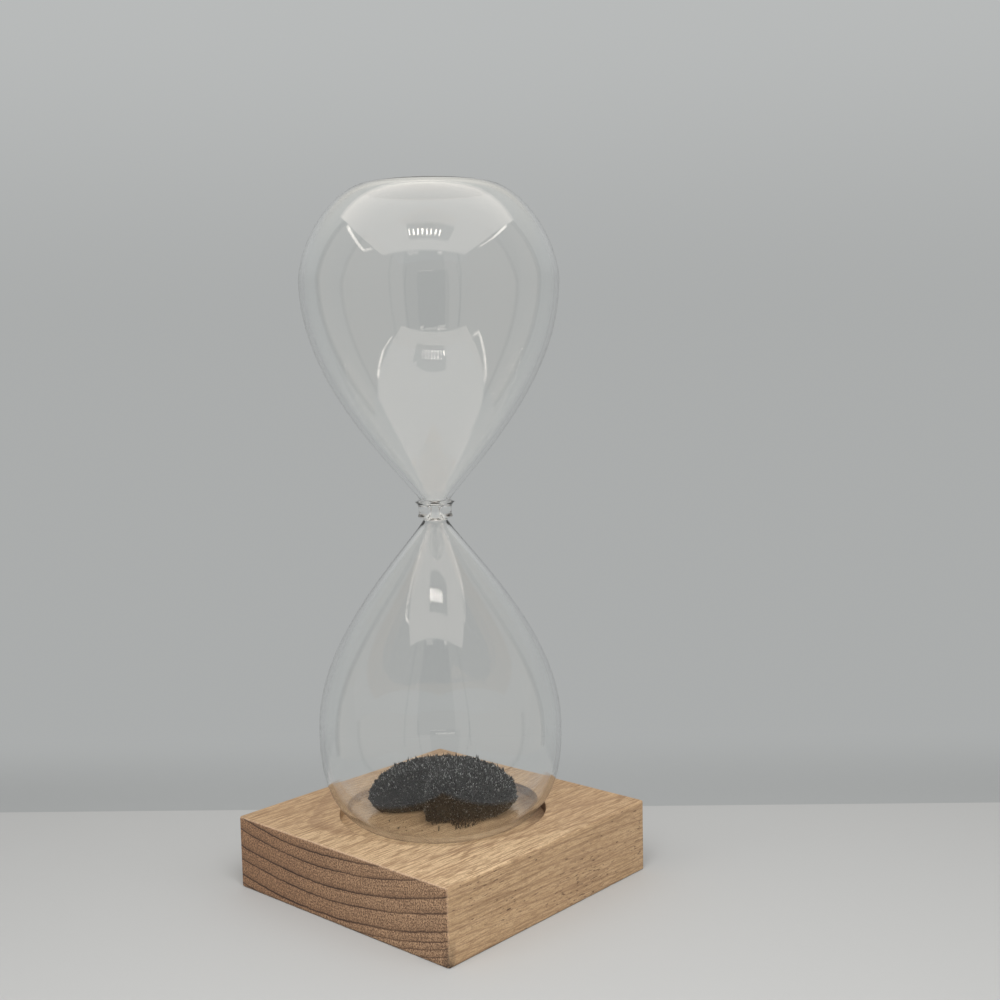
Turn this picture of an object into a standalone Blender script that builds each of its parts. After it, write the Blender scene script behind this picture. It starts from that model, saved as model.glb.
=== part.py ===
"""Magnetic hourglass: a blown glass timer in the round seat of a beech block, over a hidden disc magnet.

Metres, +Z up. The origin is the centre of the block's underside, and the grain of the wood runs along X.
"""
import math

import bmesh
import bpy
import numpy as np

# Beech block
BLOCK_SIDE = 0.060
BLOCK_THICKNESS = 0.015
BLOCK_EDGE = 0.0005
SEAT_DEPTH = 0.0023
SEAT_PLAY = 0.0045

# Magnet and the felt disc that closes its pocket
MAGNET_RADIUS = 0.015
MAGNET_THICKNESS = 0.008
MAGNET_EDGE = 0.0004
FELT_THICKNESS = 0.001
FELT_LAP = 0.003
FELT_INSET = 0.0003
POCKET_GAP = 0.0003

# Glass
GLASS_HEIGHT = 0.130
GLASS_WALL = 0.0011
UPPER_BULB_RADIUS = 0.0261
LOWER_BULB_RADIUS = 0.0253
WIDEST_FROM_NECK = 0.0464
CONE_POWER = 0.943
WAIST_RADIUS = 0.0032
FLAT_END_RADIUS = 0.0128
SHOULDER_POWER = 1.64
GLASS_SEAT_GAP = 0.0003

# Neck, where the two bulbs are fused
NECK_LENGTH = 0.0032
NECK_MIDDLE_RADIUS = 0.0033
NECK_FLARE = 0.0004
ORIFICE_RADIUS = 0.0008
NECK_GAP = 0.0003

# Iron powder
HEAP_SPREAD = 0.00075
HEAP_EDGE_HEIGHT = 0.0014
HEAP_CROWN = 0.0076
HEAP_ROUNDNESS = 2.2
HEAP_FULLNESS = 0.6
HEAP_UNDERCUT = 0.0006
SPIKE_LENGTH = 0.0009
SPIKE_FREE_RADIUS = 0.004
BITE_SIDE_DISTANCE = 0.0044
BITE_SIDE_FACING = math.radians(132)
BITE_BACK_DISTANCE = 0.0031
BITE_BACK_FACING = math.radians(238)
BITE_SLOPE_POWER = 2.5
POWDER_GAP = 0.0003

# Fineness of the curved pieces
TURNED_SEGMENTS = 40
DISC_SEGMENTS = 64
CONE_POINTS = 14
SHOULDER_POINTS = 8
NECK_POINTS = 7
HEAP_SEGMENTS = 72
HEAP_RINGS = 22
HEAP_TOP_SHARE = 0.68
MERGE_DISTANCE = 0.00001
CUTTER_REACH = 0.002
NECK_CROWDING = 1.25
SHARP_ANGLE = math.radians(30)
BLOCK_EDGE_SEGMENTS = 2
MAGNET_EDGE_SEGMENTS = 1
SPIKE_RARITY = 2
RANDOM_SEED = 7

# Colours
BEECH_COLOUR = (0.60, 0.40, 0.26)
FERRITE_COLOUR = (0.07, 0.07, 0.075)
FELT_COLOUR = (0.08, 0.12, 0.09)
GLASS_COLOUR = (0.95, 0.97, 0.96)
IRON_COLOUR = (0.045, 0.050, 0.048)

# Places worked out from the sizes
HALF_HEIGHT = GLASS_HEIGHT / 2
SEAT_FLOOR = BLOCK_THICKNESS - SEAT_DEPTH
GLASS_FOOT = SEAT_FLOOR + GLASS_SEAT_GAP
NECK_CENTRE = GLASS_FOOT + HALF_HEIGHT
MOUTH_FROM_NECK = NECK_LENGTH / 2 + NECK_GAP
HEAP_RADIUS = MAGNET_RADIUS + HEAP_SPREAD
FELT_RADIUS = MAGNET_RADIUS + FELT_LAP
FELT_BOTTOM = FELT_INSET
FELT_TOP = FELT_BOTTOM + FELT_THICKNESS
MAGNET_BOTTOM = FELT_TOP + POCKET_GAP
MAGNET_TOP = MAGNET_BOTTOM + MAGNET_THICKNESS


def start_empty():
    """Removes everything the scene holds."""
    for thing in list(bpy.data.objects):
        bpy.data.objects.remove(thing, do_unlink=True)


def new_collection(name):
    collection = bpy.data.collections.new(name)
    bpy.context.scene.collection.children.link(collection)
    return collection


def new_material(name, colour, roughness, metallic=0.0, transmission=0.0):
    material = bpy.data.materials.new(name)
    material.use_nodes = True
    shader = material.node_tree.nodes["Principled BSDF"]
    shader.inputs["Base Color"].default_value = (*colour, 1.0)
    shader.inputs["Roughness"].default_value = roughness
    shader.inputs["Metallic"].default_value = metallic
    shader.inputs["Transmission Weight"].default_value = transmission
    return material


def new_object(name, mesh, collection, material=None, location=(0, 0, 0), parent=None):
    """Adds a mesh object whose location is measured from its parent."""
    thing = bpy.data.objects.new(name, mesh)
    collection.objects.link(thing)
    thing.location = location
    thing.parent = parent
    if material:
        mesh.materials.append(material)
    return thing


def new_pivot(name, collection, location, parent=None):
    pivot = bpy.data.objects.new(name, None)
    collection.objects.link(pivot)
    pivot.empty_display_size = MAGNET_RADIUS
    pivot.location = location
    pivot.parent = parent
    return pivot


def disc_mesh(name, radius, thickness):
    """A round disc whose underside lies at height 0."""
    mesh = bpy.data.meshes.new(name)
    shape = bmesh.new()
    bmesh.ops.create_cone(
        shape, cap_ends=True, segments=DISC_SEGMENTS, radius1=radius, radius2=radius, depth=thickness
    )
    bmesh.ops.translate(shape, verts=shape.verts, vec=(0, 0, thickness / 2))
    shape.to_mesh(mesh)
    shape.free()
    mesh.shade_smooth()
    mesh.set_sharp_from_angle(angle=SHARP_ANGLE)
    return mesh


def add_bevel(thing, width, segments):
    bevel = thing.modifiers.new("rounded_edges", "BEVEL")
    bevel.width = width
    bevel.segments = segments
    bevel.limit_method = "ANGLE"


def add_cut(thing, cutter):
    cut = thing.modifiers.new("cut_" + cutter.name, "BOOLEAN")
    cut.operation = "DIFFERENCE"
    cut.object = cutter
    cut.solver = "EXACT"


def new_cutter(name, mesh, location, collection):
    cutter = new_object(name, mesh, collection, location=location)
    cutter.hide_render = True
    cutter.display_type = "WIRE"
    return cutter


def turned_object(name, profile, closed, collection, material, location, parent):
    """Turns a profile of (radius, height) points about the object's own Z axis."""
    mesh = bpy.data.meshes.new(name)
    points = [(radius, 0.0, height) for radius, height in profile]
    edges = [(i, i + 1) for i in range(len(points) - 1)]
    if closed:
        edges.append((len(points) - 1, 0))
    mesh.from_pydata(points, edges, [])
    thing = new_object(name, mesh, collection, material, location, parent)
    screw = thing.modifiers.new("turned", "SCREW")
    screw.steps = TURNED_SEGMENTS
    screw.render_steps = TURNED_SEGMENTS
    screw.use_merge_vertices = True
    screw.merge_threshold = MERGE_DISTANCE
    screw.use_smooth_shade = True
    return thing


def bulb_outline(bulb_radius):
    """Outer points (radius, distance from the neck's centre), from the mouth to the rim of the flat end.

    The cone's radius is the waist and a raised sine added as squares.
    The shoulder is a quarter of a superellipse.
    """
    ease = np.linspace(0, 1, CONE_POINTS) ** NECK_CROWDING
    cone = MOUTH_FROM_NECK + (WIDEST_FROM_NECK - MOUTH_FROM_NECK) * ease
    swell = np.sin(math.pi / 2 * (cone / WIDEST_FROM_NECK) ** CONE_POWER)
    cone_radius = np.sqrt(WAIST_RADIUS**2 + (bulb_radius**2 - WAIST_RADIUS**2) * swell**2)
    turn = np.linspace(0, math.pi / 2, SHOULDER_POINTS + 1)[1:]
    along = np.sin(turn) ** (2 / SHOULDER_POWER)
    inward = np.clip(np.cos(turn), 0, 1) ** (2 / SHOULDER_POWER)
    shoulder = WIDEST_FROM_NECK + (HALF_HEIGHT - WIDEST_FROM_NECK) * along
    shoulder_radius = FLAT_END_RADIUS + (bulb_radius - FLAT_END_RADIUS) * inward
    radii = np.concatenate([cone_radius, shoulder_radius])
    distances = np.concatenate([cone, shoulder])
    return np.stack([radii, distances], axis=1)


def bulb_lining(bulb_radius):
    """Inner points of the same bulb, one wall inside the outline and in the same order."""
    outline = bulb_outline(bulb_radius)
    along = np.gradient(outline, axis=0)
    along[-1] = (-1, 0)
    along /= np.linalg.norm(along, axis=1, keepdims=True)
    inward = np.stack([-along[:, 1], along[:, 0]], axis=1)
    lining = outline + GLASS_WALL * inward
    mouth_wall = GLASS_WALL / along[0, 1]
    lining[0] = (outline[0, 0] - mouth_wall, outline[0, 1])
    return lining


def bulb_profile(bulb_radius, upwards):
    """Closes outline and lining at the axis, running down the outer side as the turned shape needs."""
    outline = bulb_outline(bulb_radius)
    lining = bulb_lining(bulb_radius)
    end_outside = (0.0, HALF_HEIGHT)
    end_inside = (0.0, HALF_HEIGHT - GLASS_WALL)
    if upwards:
        loop = [end_outside, *outline[::-1], *lining, end_inside]
        return [(float(r), float(d)) for r, d in loop]
    loop = [end_inside, *lining[::-1], *outline, end_outside]
    return [(float(r), -float(d)) for r, d in loop]


def neck_profile():
    """The fused neck: a waisted bead outside and an hourglass bore inside."""
    across = np.linspace(1, -1, NECK_POINTS)
    heights = across * NECK_LENGTH / 2
    outside = NECK_MIDDLE_RADIUS + NECK_FLARE * across**2
    mouth = bulb_lining(LOWER_BULB_RADIUS)[0, 0]
    bore = np.sqrt(ORIFICE_RADIUS**2 + (mouth**2 - ORIFICE_RADIUS**2) * across**2)
    down = list(zip(outside, heights))
    up = list(zip(bore[::-1], heights[::-1]))
    return [(float(r), float(z)) for r, z in down + up]


def floor_height(radius):
    """World height of the lower bulb's inner surface at some distance from the axis."""
    lining = bulb_lining(LOWER_BULB_RADIUS)[CONE_POINTS:]
    heights = NECK_CENTRE - lining[:, 1]
    return np.interp(radius, lining[::-1, 0], heights[::-1])


def heap_reach(angle):
    """How far the heap reaches in a direction: a circle less a wedge between two straight edges."""
    side = np.cos(angle - BITE_SIDE_FACING)
    back = np.cos(angle - BITE_BACK_FACING)
    in_bite = (side > 0) & (back > 0)
    least = BITE_BACK_DISTANCE / HEAP_RADIUS
    to_side = BITE_SIDE_DISTANCE / np.maximum(side, least)
    to_back = BITE_BACK_DISTANCE / np.maximum(back, least)
    bitten = np.minimum(np.maximum(to_side, to_back), HEAP_RADIUS)
    return np.where(in_bite, bitten, HEAP_RADIUS)


def heap_edge(reach):
    """World height of the heap's edge, which hangs a little above the glass floor."""
    return floor_height(reach) + HEAP_EDGE_HEIGHT


def heap_crown(radius):
    """World height of the whole heap's domed top."""
    share = np.clip(radius / HEAP_RADIUS, 0, 1)
    return heap_edge(HEAP_RADIUS) + HEAP_CROWN * (1 - share**HEAP_ROUNDNESS) ** HEAP_FULLNESS


def heap_mesh(name):
    """A sphere whose upper rings are laid on the dome and whose lower rings are laid on the glass floor."""
    mesh = bpy.data.meshes.new(name)
    shape = bmesh.new()
    bmesh.ops.create_uvsphere(shape, u_segments=HEAP_SEGMENTS, v_segments=HEAP_RINGS, radius=1)
    points = np.array([vert.co[:] for vert in shape.verts])
    angle = np.arctan2(points[:, 1], points[:, 0])
    down = np.arccos(np.clip(points[:, 2], -1, 1)) / math.pi
    reach = heap_reach(angle)

    over = np.clip(down / HEAP_TOP_SHARE, 0, 1)
    top_radius = reach * np.sin(over * math.pi / 2)
    slope = (heap_crown(reach) - heap_edge(reach)) * over**BITE_SLOPE_POWER
    top_height = heap_crown(top_radius) - slope

    under = np.clip((down - HEAP_TOP_SHARE) / (1 - HEAP_TOP_SHARE), 0, 1)
    bottom_radius = (reach - HEAP_UNDERCUT) * (1 - under)
    bottom_height = floor_height(bottom_radius) + POWDER_GAP
    on_top = down <= HEAP_TOP_SHARE
    radius = np.where(on_top, top_radius, bottom_radius)
    height = np.where(on_top, top_height, bottom_height)

    random = np.random.RandomState(RANDOM_SEED)
    spike = SPIKE_LENGTH * random.rand(len(points)) ** SPIKE_RARITY * on_top
    spike *= np.clip(top_radius / SPIKE_FREE_RADIUS, 0, 1)
    lean = np.clip(top_radius / HEAP_RADIUS, 0, 1)
    radius = radius + spike * lean
    height = height + spike * np.sqrt(1 - lean**2)
    for vert, a, r, z in zip(shape.verts, angle, radius, height):
        vert.co = (r * math.cos(a), r * math.sin(a), z)
    shape.to_mesh(mesh)
    shape.free()
    return mesh


def build_block(collection, cutters):
    """The beech block, with the glass's seat cut in its top and a stepped magnet pocket from below."""
    mesh = bpy.data.meshes.new("base_block")
    shape = bmesh.new()
    bmesh.ops.create_cube(shape, size=1)
    bmesh.ops.scale(shape, vec=(BLOCK_SIDE, BLOCK_SIDE, BLOCK_THICKNESS), verts=shape.verts)
    bmesh.ops.translate(shape, vec=(0, 0, BLOCK_THICKNESS / 2), verts=shape.verts)
    shape.to_mesh(mesh)
    shape.free()
    beech = new_material("beech", BEECH_COLOUR, roughness=0.55)
    block = new_object("base_block", mesh, collection, beech)
    add_bevel(block, BLOCK_EDGE, BLOCK_EDGE_SEGMENTS)

    outline = bulb_outline(LOWER_BULB_RADIUS)
    rim_distance = NECK_CENTRE - BLOCK_THICKNESS
    glass_at_rim = float(np.interp(rim_distance, outline[:, 1], outline[:, 0]))
    seat_radius = glass_at_rim + SEAT_PLAY
    step_radius = FELT_RADIUS + POCKET_GAP
    pocket_radius = MAGNET_RADIUS + POCKET_GAP
    step_depth = FELT_TOP + POCKET_GAP
    pocket_depth = MAGNET_TOP + POCKET_GAP
    seat = disc_mesh("seat_cutter", seat_radius, SEAT_DEPTH + CUTTER_REACH)
    felt_step = disc_mesh("felt_step_cutter", step_radius, step_depth + CUTTER_REACH)
    pocket = disc_mesh("magnet_pocket_cutter", pocket_radius, pocket_depth + CUTTER_REACH)
    below = (0, 0, -CUTTER_REACH)
    add_cut(block, new_cutter("seat_cutter", seat, (0, 0, SEAT_FLOOR), cutters))
    add_cut(block, new_cutter("felt_step_cutter", felt_step, below, cutters))
    add_cut(block, new_cutter("magnet_pocket_cutter", pocket, below, cutters))


def build_magnet(collection):
    ferrite = new_material("ferrite", FERRITE_COLOUR, roughness=0.45, metallic=0.3)
    mesh = disc_mesh("disc_magnet", MAGNET_RADIUS, MAGNET_THICKNESS)
    magnet = new_object("disc_magnet", mesh, collection, ferrite, (0, 0, MAGNET_BOTTOM))
    add_bevel(magnet, MAGNET_EDGE, MAGNET_EDGE_SEGMENTS)


def build_felt(collection):
    felt = new_material("felt", FELT_COLOUR, roughness=0.95)
    mesh = disc_mesh("felt_cover_disc", FELT_RADIUS, FELT_THICKNESS)
    new_object("felt_cover_disc", mesh, collection, felt, (0, 0, FELT_BOTTOM))


def build_glass(collection, turn_pivot):
    """Two bulbs and their neck, each turned about the upright axis through the turn-over pivot."""
    clear = new_material("clear_glass", GLASS_COLOUR, roughness=0.02, transmission=1.0)
    upper = bulb_profile(UPPER_BULB_RADIUS, upwards=True)
    lower = bulb_profile(LOWER_BULB_RADIUS, upwards=False)
    centre = (0, 0, 0)
    turned_object("upper_bulb", upper, False, collection, clear, centre, turn_pivot)
    turned_object("neck_joint", neck_profile(), True, collection, clear.copy(), centre, turn_pivot)
    turned_object("lower_bulb", lower, False, collection, clear.copy(), centre, turn_pivot)


def build_powder(collection, lift_pivot):
    """The heap of powder that the magnet holds on the lower bulb's floor."""
    iron = new_material("iron_powder", IRON_COLOUR, roughness=0.6, metallic=0.5)
    down = (0, 0, -lift_pivot.location.z)
    new_object("iron_powder", heap_mesh("iron_powder"), collection, iron, down, lift_pivot)


def main():
    start_empty()
    parts = new_collection("magnetic_hourglass")
    cutters = new_collection("cutters")
    lift_pivot = new_pivot("lift_pivot", parts, (0, 0, SEAT_FLOOR))
    turn_pivot = new_pivot("turn_pivot", parts, (0, 0, NECK_CENTRE - SEAT_FLOOR), lift_pivot)
    build_block(parts, cutters)
    build_magnet(parts)
    build_felt(parts)
    build_glass(parts, turn_pivot)
    build_powder(parts, lift_pivot)


main()
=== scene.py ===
"""Looks of the magnetic hourglass: blown glass, needles of iron powder and a beech block.

Metres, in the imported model's frame: +Z up, and the grain of the wood runs along X.
"""
import math
from collections import namedtuple

import bpy
import numpy as np
from mathutils import Matrix

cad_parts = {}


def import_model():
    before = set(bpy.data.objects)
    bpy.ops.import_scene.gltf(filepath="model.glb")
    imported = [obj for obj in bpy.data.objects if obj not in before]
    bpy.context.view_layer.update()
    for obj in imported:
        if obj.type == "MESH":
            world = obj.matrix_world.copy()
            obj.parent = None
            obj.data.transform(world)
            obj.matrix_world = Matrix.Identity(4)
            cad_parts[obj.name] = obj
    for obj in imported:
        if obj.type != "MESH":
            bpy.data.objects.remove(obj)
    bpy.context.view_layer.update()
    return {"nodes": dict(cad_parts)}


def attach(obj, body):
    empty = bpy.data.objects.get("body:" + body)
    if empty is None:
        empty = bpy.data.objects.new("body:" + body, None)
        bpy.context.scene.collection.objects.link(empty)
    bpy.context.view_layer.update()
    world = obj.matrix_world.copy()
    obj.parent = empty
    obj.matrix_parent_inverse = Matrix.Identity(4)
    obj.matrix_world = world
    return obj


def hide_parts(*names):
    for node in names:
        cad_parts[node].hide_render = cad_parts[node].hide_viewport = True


MM = 0.001
UP = np.array([0.0, 0.0, 1.0])

# Beech block. The angle and spread of the painted shade in the seat are in degrees.
BLOCK_HALF = 30 * MM
BLOCK_TOP = 15 * MM
SEAT_FLOOR = 12.7 * MM
SEAT_RADIUS = 21.5 * MM
SEAT_EDGE = 0.2 * MM
EDGE_RADIUS = 0.3 * MM
CORNER_RADIUS = 0.6 * MM
FELT_STEP_RADIUS = 18.3 * MM
FELT_STEP_TOP = 1.6 * MM
POCKET_RADIUS = 15.3 * MM
POCKET_TOP = 9.9 * MM
CREASE = 0.03 * MM
LEAST_CORNER = 0.05 * MM
SIDE_STEPS = 40
CORNER_STEPS = 6
DARK_CORNER = (-BLOCK_HALF, -BLOCK_HALF, 0)
SEAT_SHADE_FACING = -30
SEAT_SHADE_SPREAD = 34

# Growth rings, in mm: the pith's (y, z), how much they dip along X, how far they wander and tremble, how far
# apart the fine lines are, and each ring's depth from the pith
PITH = (9.0, 126.0)
RING_DIP = 0.10
RING_WANDER = 1.0
RING_TREMBLE = 0.34
FINE_RING = 0.83
RING_DEPTHS = (104.4, 107.3, 110.5, 113.2, 115.7, 119.15, 121.85, 125.2, 126.9, 128.3, 129.7, 132.5)

# Colours of the painted highlight on the ends' edges, the painted shade in the seat and the painted contact
# shadow along the foot with its dark corner, and how much of the block's image in the glass is taken away
EDGE_HIGHLIGHT_TAN = (0.66, 0.47, 0.32)
SEAT_SHADE_BROWN = (0.115, 0.058, 0.030)
CORNER_AND_FOOT_SHADOW_BROWN = (0.035, 0.018, 0.011)
MIRRORED_SHADE = (0.05, 0.048, 0.045)
MIRRORED_DIMMING = 0.24

# Blown glass, measured from the middle of its neck. A pair holds what is above the middle, then below it.
NECK_CENTRE = 78 * MM
HALF_HEIGHT = 65.2 * MM
Bulb = namedtuple("Bulb", "radius widest power waist flat shoulder")
UPPER_BULB = Bulb(26.1 * MM, 46.4 * MM, 0.943, 2.0 * MM, 12.8 * MM, 1.64)
LOWER_BULB = Bulb(25.1 * MM, 45.2 * MM, 1.0, 1.7 * MM, 11.0 * MM, 2.5)
WALL = 1.0 * MM
WAVE_SIZE = 11 * MM
WAVE_SHARE = 0.0009
LEAST_RADIUS = 0.2 * MM
NEAR_NECK = 3 * MM
KNOB_RADIUS = 3.36 * MM
Lip = namedtuple("Lip", "raised place width")
UPPER_LIP = Lip(0.80 * MM, 1.75 * MM, 0.42 * MM)
LOWER_LIP = Lip(0.20 * MM, -1.2 * MM, 0.4 * MM)
KNOB_MELTS = ((1.65 * MM, 2.25 * MM), (1.3 * MM, 2.0 * MM))
ORIFICE_RADIUS = 0.8 * MM
BORE_SLOPES = (0.85, 0.8)
BORE_MELTS = ((1.6 * MM, 3.0 * MM), (1.6 * MM, 3.2 * MM))
GLASS_STEPS = 160
GLASS_TINT = (0.992, 0.997, 0.994)
SHADOW_TINT = (0.994, 0.996, 0.995)

# Iron powder
HEAP_RADIUS = 15.6 * MM
HEAP_SHIFT = 4.0 * MM
HEAP_SHIFT_FACING = math.radians(45)
HEAP_EDGE_HEIGHT = 3.2 * MM
CUT_EDGE_HEIGHT = 1.0 * MM
HEAP_CROWN = 5.8 * MM
HEAP_ROUNDNESS = 3.4
HEAP_FULLNESS = 0.44
HEAP_UNDERCUT = 0.17
CUT_SLOPE_POWER = 4.5
HEAP_RAGGEDNESS = 0.22 * MM
RIM_NOISE_RADIUS = 16
RIM_NOISE_SIZE = 1.2
HEAP_LUMPS = 0.16 * MM
HEAP_STEPS = 200
UNDER_STEPS = 10
POWDER_GAP = 0.1 * MM
RANDOM_SEED = 11

# Straight cuts of the heap: how far each is from the heap's middle, and which way it faces
FRONT = (10.4 * MM, math.radians(228))
BITE_SIDE = (3.8 * MM, math.radians(137))
BITE_BACK = (1.3 * MM, math.radians(238))

# How far from the neck's middle the glass's floor and the side round the heap begin
FLOOR_FROM_NECK = 50 * MM
SIDE_FROM_NECK = 40 * MM

# Needles in the heap and the broad spikes among them: how many, their sizes in mm, and how bright they are.
# The heights in mm are those up to which painted shade darkens a needle, and from which it is bright.
NEEDLE_COUNT = 13500
NEEDLE_SHORTEST = 0.22
NEEDLE_SPREAD = 0.80
NEEDLE_HALF_WIDTHS = (0.11, 0.21)
NEEDLE_ROOT = 0.2
# Painted shade along each needle, from a dark root to a bright tip
NEEDLE_SHADES = (0.02, 0.02, 0.02, 0.55, 0.55, 0.55, 1.0)
SPIKE_COUNT = 380
SPIKE_LENGTHS = (0.7, 1.35)
SPIKE_WIDENING = 1.35
SPIKE_BRIGHTNESS = 0.35
LOW_BRIGHTNESS = 0.62
DIM_BELOW = 16.5
BRIGHT_ABOVE = 21.5

# Dark and pale shades of the grainy materials. The iron's pale shade is a painted glint on the brightest
# needle tips.
IRON = ((0.004, 0.004, 0.004), (0.98, 0.99, 0.94))
STRAY_IRON = ((0.012, 0.009, 0.008), (0.075, 0.052, 0.045))
FERRITE = ((0.045, 0.045, 0.050), (0.095, 0.095, 0.100))
FELT = ((0.045, 0.080, 0.055), (0.110, 0.160, 0.120))

# Tufts of thin needles that stand along the heap's front: from and to which angle, how many, how near to
# and far from the glass's axis in mm, and the tallest in mm
FRINGE_TUFTS = (
    (204, 217, 34, 5.6, 7.8, 1.5),
    (218, 219.5, 3, 10.7, 11.3, 2.3),
    (219, 237, 34, 5.0, 6.8, 1.2),
    (237, 263, 120, 6.0, 11.2, 2.1),
    (263, 288, 60, 7.6, 10.8, 1.5),
)

# Grains that lie in the bite: x, y and length in mm
GRAIN_SPOTS = (
    (-13.1, 0.0, 0.75),
    (-13.0, 0.3, 0.45),
    (-11.6, -0.6, 0.4),
    (-12.8, -2.3, 0.5),
    (-11.0, 4.7, 0.5),
    (-10.7, 5.1, 0.35),
    (-11.5, -2.5, 0.35),
    (-10.7, -4.5, 0.45),
    (-9.2, -6.4, 0.4),
    (-12.4, 5.1, 0.3),
    (-9.8, 1.9, 0.25),
    (-10.4, -1.2, 0.25),
)

# Camera, solved from the block's corners in the photograph
CAMERA_PLACE = (-0.19168, -0.18862, 0.10921)
CAMERA_YAW = 0.84083
CAMERA_PITCH = 0.10917
CAMERA_ROLL = -0.020939
CAMERA_LENS = 47.6
CAMERA_SHIFT = 0.0027
SENSOR_WIDTH = 36

# Room
WALL_GREY = (0.405, 0.415, 0.413)
HIGH_WALL = (0.418, 0.413, 0.388)
TABLE_WHITE = (0.520, 0.520, 0.510)
TABLE_EDGE_FACING = (0.766, 0.6425)
TABLE_EDGE_DISTANCE = 42.6 * MM
TABLE_REACH = 3.0
DAYLIGHT = 0.43

# Heights in the room, as the sine of the angle above level: where the wall gets brighter and warmer, and
# where the ceiling that the glass mirrors gets bright
WALL_BRIGHTENS = (0.02, 0.26)
WALL_GAIN = 1.19
WALL_WARMS = (0.27, 0.50)
CEILING_RISES = (0.24, 0.75)
CEILING_GLOW = 0.5

# Soft lamps: the name, the place, what it is aimed at, its two sides and its power
SOFTBOXES = (
    ("overhead_softbox", (-0.13, -0.14, 0.27), (0, 0, 20 * MM), (0.22, 0.22), 0.72),
    ("left_softbox", (-0.45, 0.12, 0.30), (0, 0, 70 * MM), (0.16, 0.45), 0.38),
    ("right_softbox", (0.12, -0.45, 0.30), (0, 0, 70 * MM), (0.16, 0.45), 0.38),
)

# Cards that the glass mirrors, as two opposite corners (back, right, up) in millimetres and a brightness.
# Back is the distance towards the wall behind, and right is along that wall.
CARD_COLOUR = (1.0, 0.93, 0.85)
CLOTH = 0.56
CARDS = (
    ((-155, -112, 222), (42, 115, 222), 1.85),
    ((-113, -26, 221.5), (-72, 48, 221.5), 0.8),
    ((-155, -112, 0), (15, -112, 222), CLOTH),
    ((-155, 115, 0), (32, 115, 222), CLOTH),
    ((-155, -112, 0), (-155, -45, 222), CLOTH),
    ((-155, 48, 0), (-155, 115, 222), CLOTH),
    ((-155, -45, 0), (-155, 48, 40), CLOTH),
    ((-155, -45, 40), (-155, 48, 219), 0.20),
    ((-154, -81, 15), (-154, -77, 221), 0.05),
    ((-154, 86, 15), (-154, 90, 221), 0.05),
    ((12, -112, 0), (21, -112, 222), 0.0),
    ((30, 115, 0), (38, 115, 222), 0.0),
    ((-154, -38, 214), (-154, -8, 217), 2.6),
    ((-154, -36, 207), (-154, -10, 210), 2.2),
    ((-154, 34, 209), (-154, 46, 218), 2.4),
    ((-154, 0, 41), (-154, 46, 44), 1.8),
)

# The row of small lamps that the glass mirrors, in the same millimetres
LAMP_ROW = {"first": -24, "pitch": 7.2, "count": 8, "width": 1.9, "back": (-100, -87), "up": 221}
LAMP_GLOW = 26.0

# Bright strokes on the side cards: the start, the end, how tall and how bright
STROKES = (
    ((-3, -111, 215), (-80, -111, 197), 6, 5.0),
    ((-80, -111, 198), (-102, -111, 214), 6, 4.0),
    ((8, 114, 217), (-45, 114, 211), 5, 5.0),
    ((-45, 114, 212), (-90, 114, 213), 3, 4.0),
)


def smooth_step(value, low, high):
    """0 below low, 1 above high, and an S-shaped rise between them."""
    share = np.clip((value - low) / (high - low), 0, 1)
    return share * share * (3 - 2 * share)


def blend(first, second, share):
    """The first where share is 0, the second where it is 1, and straight between them."""
    return first * (1 - share) + second * share


def unit(vectors):
    """The same directions at length 1."""
    return vectors / np.linalg.norm(vectors, axis=-1, keepdims=True)


def mesh_object(name, points, faces, material, attributes=None, smooth=True):
    """A mesh object at the origin, with one number per point stored for each attribute."""
    mesh = bpy.data.meshes.new(name)
    mesh.from_pydata(points.tolist(), [], faces)
    for key, values in (attributes or {}).items():
        layer = mesh.attributes.new(key, "FLOAT", "POINT")
        layer.data.foreach_set("value", values.astype(np.float32))
    if smooth:
        mesh.shade_smooth()
    mesh.materials.append(material)
    thing = bpy.data.objects.new(name, mesh)
    bpy.context.scene.collection.objects.link(thing)
    return thing


def skin(rings, first_pole, last_pole, start=0):
    """Points and faces of a closed skin: a pole, rings of points in turn, and the other pole.

    Rings that climb while their points run anticlockwise give faces that look outwards.
    """
    count, steps = rings.shape[:2]
    points = np.concatenate([[first_pole], rings.reshape(-1, 3), [last_pole]])
    lower = start + 1 + np.arange(count - 1)[:, None] * steps
    here = np.arange(steps)[None, :]
    ahead = (here + 1) % steps
    quads = np.stack([lower + here, lower + ahead, lower + steps + ahead, lower + steps + here], axis=-1)
    top = start + 1 + (count - 1) * steps
    first = np.stack([np.full(steps, start), start + 1 + ahead[0], start + 1 + here[0]], axis=-1)
    last = np.stack([top + here[0], top + ahead[0], np.full(steps, start + 1 + count * steps)], axis=-1)
    return points, quads.reshape(-1, 4).tolist() + first.tolist() + last.tolist()


def turned(profile, steps):
    """Rings about Z from (radius, height) rows: the radius times the cosine and sine of each angle."""
    angle = np.linspace(0, 2 * math.pi, steps, endpoint=False)
    radius = profile[:, :1]
    height = np.broadcast_to(profile[:, 1:], (len(profile), steps))
    return np.stack([radius * np.cos(angle), radius * np.sin(angle), height], axis=-1)


def value_noise(points, size, random):
    """Smooth random numbers from -1 to 1: random values on a grid of that size, eased between its corners."""
    table = random.uniform(-1, 1, (32, 32, 32))
    place = points / size
    corner = np.floor(place).astype(int)
    share = smooth_step(place - corner, 0, 1)
    total = np.zeros(len(points))
    for offset in np.ndindex(2, 2, 2):
        index = (corner + offset) % 32
        weight = np.prod(np.where(offset, share, 1 - share), axis=1)
        total += weight * table[index[:, 0], index[:, 1], index[:, 2]]
    return total


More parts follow.
